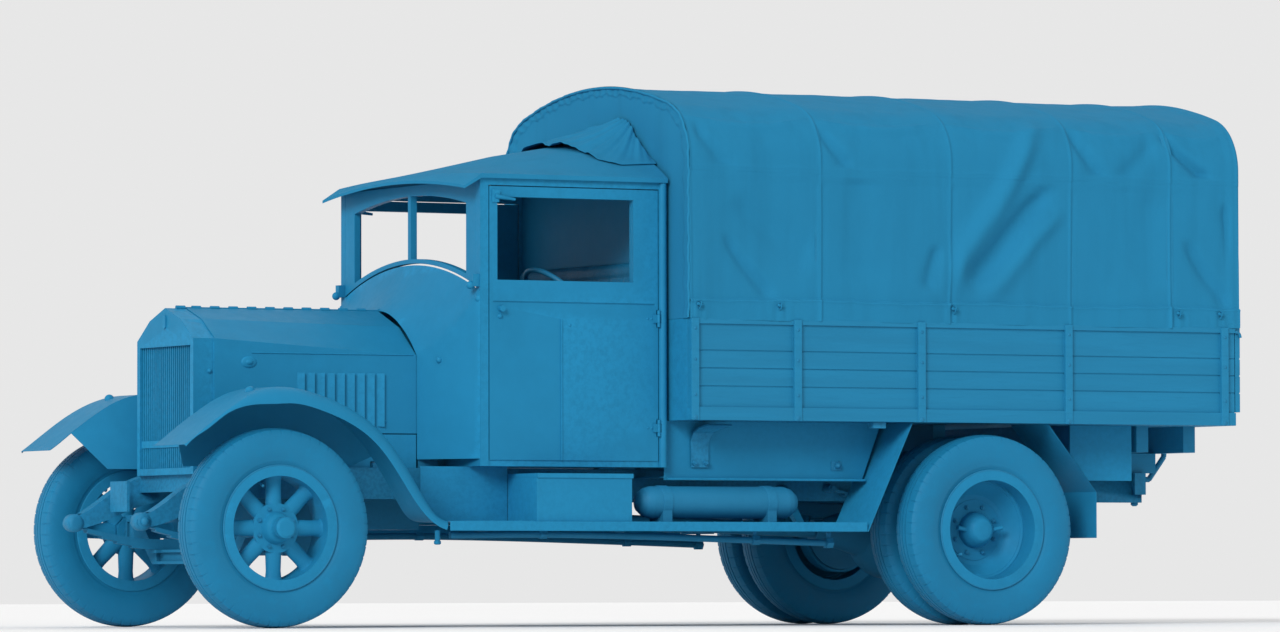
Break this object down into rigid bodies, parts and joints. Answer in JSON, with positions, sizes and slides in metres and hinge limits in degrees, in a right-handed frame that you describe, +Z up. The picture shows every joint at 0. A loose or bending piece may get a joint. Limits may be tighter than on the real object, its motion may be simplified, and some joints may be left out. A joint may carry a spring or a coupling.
{
  "type": "canvas-topped flatbed truck",
  "caption": "Old bonneted flatbed truck with a canvas tilt over a plank-sided load bed, spoked front wheels and twin rear tyres.",
  "frame": {"origin": "on the ground under the middle of the truck", "axes": "+X forward, +Y to the truck's left, +Z up"},
  "size_m": [5.874, 1.998, 2.659],
  "materials": {
    "paint": "satin",
    "chassis_iron": "satin",
    "canvas": "matt",
    "painted_wood": "satin paint",
    "seat_leather": "satin",
    "hand_wheel": "satin",
    "wheel_paint": "satin",
    "tyre_rubber": "matt"
  },
  "bodies": {
    "chassis": {"frame_rails": "chassis_iron", "front_springs": "chassis_iron", "rear_springs": "chassis_iron", "front_axle_beam": "chassis_iron", "rear_axle": "chassis_iron", "engine_block": "chassis_iron", "propeller_shaft": "chassis_iron", "radiator": "paint", "scuttle": "paint", "side_tank": "paint", "cab_body": "paint", "windscreen_frame": "paint", "cab_roof": "canvas", "roof_cloth": "canvas", "seat_base": "painted_wood", "seat_cushion": "seat_leather", "seat_back": "seat_leather", "steering_column": "chassis_iron", "bed_floor": "painted_wood", "bed_front": "painted_wood", "tilt_hoops": "painted_wood", "tilt_canvas": "canvas", "rolled_curtain": "canvas", "tow_hooks": "chassis_iron", "side_lamps": "paint", "front_wing_left": "paint", "front_wing_right": "paint", "running_board_left": "paint", "running_board_right": "paint", "step_apron_left": "paint", "step_apron_right": "paint", "locker_left": "paint", "locker_right": "paint", "bed_side_left": "painted_wood", "bed_side_right": "painted_wood", "rear_mudguard_left": "paint", "rear_mudguard_right": "paint"},
    "steering_knuckle_left": {"knuckle_left": "chassis_iron"},
    "front_road_wheel_left": {"front_wheel_left": "wheel_paint", "front_tyre_left": "tyre_rubber"},
    "rear_road_wheels_left": {"rear_wheels_left": "wheel_paint", "rear_tyres_left": "tyre_rubber"},
    "cab_door_left": {"door_left": "paint"},
    "bonnet_half_left": {"bonnet_left": "paint"},
    "steering_knuckle_right": {"knuckle_right": "chassis_iron"},
    "front_road_wheel_right": {"front_wheel_right": "wheel_paint", "front_tyre_right": "tyre_rubber"},
    "rear_road_wheels_right": {"rear_wheels_right": "wheel_paint", "rear_tyres_right": "tyre_rubber"},
    "cab_door_right": {"door_right": "paint"},
    "bonnet_half_right": {"bonnet_right": "paint"},
    "tie_bar": {"track_rod": "chassis_iron"},
    "hand_wheel": {"steering_wheel": "hand_wheel"},
    "rear_gate": {"tailgate": "painted_wood"}
  },
  "joints": [
    {"name": "steer_left", "type": "hinge", "parent": "chassis", "child": "steering_knuckle_left", "pos_m": [2.42, 0.7, 0.47], "axis": [0, 0, 1], "range_deg": [-30, 30]},
    {"name": "front_spin_left", "type": "hinge", "parent": "steering_knuckle_left", "child": "front_road_wheel_left", "pos_m": [2.42, 0.835, 0.47], "axis": [0, 1, 0], "continuous": true},
    {"name": "rear_spin_left", "type": "hinge", "parent": "chassis", "child": "rear_road_wheels_left", "pos_m": [-1.436, 0.7785, 0.47], "axis": [0, 1, 0], "continuous": true},
    {"name": "door_swing_left", "type": "hinge", "parent": "chassis", "child": "cab_door_left", "pos_m": [0.315, 0.763, 1.2], "axis": [0, 0, 1], "range_deg": [0, 75]},
    {"name": "bonnet_lift_left", "type": "hinge", "parent": "chassis", "child": "bonnet_half_left", "pos_m": [1.46, 0, 1.537], "axis": [1, 0, -0.0029], "range_deg": [0, 65]},
    {"name": "steer_right", "type": "hinge", "parent": "chassis", "child": "steering_knuckle_right", "pos_m": [2.42, -0.7, 0.47], "axis": [0, 0, 1], "range_deg": [-30, 30]},
    {"name": "front_spin_right", "type": "hinge", "parent": "steering_knuckle_right", "child": "front_road_wheel_right", "pos_m": [2.42, -0.835, 0.47], "axis": [0, 1, 0], "continuous": true},
    {"name": "rear_spin_right", "type": "hinge", "parent": "chassis", "child": "rear_road_wheels_right", "pos_m": [-1.436, -0.7785, 0.47], "axis": [0, 1, 0], "continuous": true},
    {"name": "door_swing_right", "type": "hinge", "parent": "chassis", "child": "cab_door_right", "pos_m": [0.315, -0.763, 1.2], "axis": [0, 0, -1], "range_deg": [0, 75]},
    {"name": "bonnet_lift_right", "type": "hinge", "parent": "chassis", "child": "bonnet_half_right", "pos_m": [1.46, 0, 1.537], "axis": [-1, 0, 0.0029], "range_deg": [0, 65]},
    {"name": "tie_bar_shift", "type": "slide", "parent": "chassis", "child": "tie_bar", "axis": [0, 1, 0], "range_m": [-0.088, 0.088]},
    {"name": "hand_wheel_turn", "type": "hinge", "parent": "chassis", "child": "hand_wheel", "pos_m": [0.65, 0.37, 1.58], "axis": [-0.7118, 0, 0.7023], "range_deg": [-361, 361]},
    {"name": "gate_drop", "type": "hinge", "parent": "chassis", "child": "rear_gate", "pos_m": [-2.922, 0, 1.04], "axis": [0, -1, 0], "range_deg": [0, 170]}
  ],
  "couplings": [
    {"joint": "steer_right", "follows": "steer_left", "ratio": 1},
    {"joint": "tie_bar_shift", "follows": "steer_left", "m_per_rad": -0.165},
    {"joint": "hand_wheel_turn", "follows": "steer_left", "ratio": 12}
  ]
}
